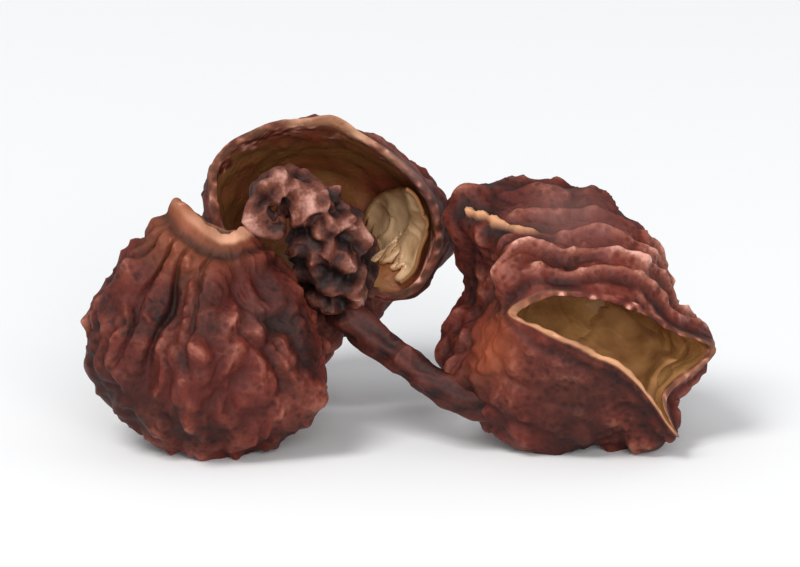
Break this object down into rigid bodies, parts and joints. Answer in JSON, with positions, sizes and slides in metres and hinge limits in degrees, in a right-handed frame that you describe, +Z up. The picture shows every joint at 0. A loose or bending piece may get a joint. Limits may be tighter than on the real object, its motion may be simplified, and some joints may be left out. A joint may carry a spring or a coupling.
{
  "type": "sichuan peppercorn sprig",
  "caption": "Sprig of dried Sichuan pepper: split, hollow, warty red-brown husks with papery linings, joined by a thin dark stalk with a shrivelled small carpel.",
  "frame": {"origin": "bottom centre of the bounding box, on the plane the sprig lies on", "axes": "+X from the left husk to the right one, along the longest extent; +Y away from the viewer; +Z up"},
  "size_m": [0.0098, 0.0064, 0.005],
  "materials": {
    "husk_skin": "dry, warty, slightly waxy",
    "lining": "papery, satin",
    "stalk_bark": "dry, wrinkled"
  },
  "bodies": {
    "root": {"husk_left": "husk_skin", "husk_middle": "husk_skin", "husk_right": "husk_skin", "lining_middle": "lining", "lining_right": "lining", "stalk": "stalk_bark"}
  },
  "joints": []
}
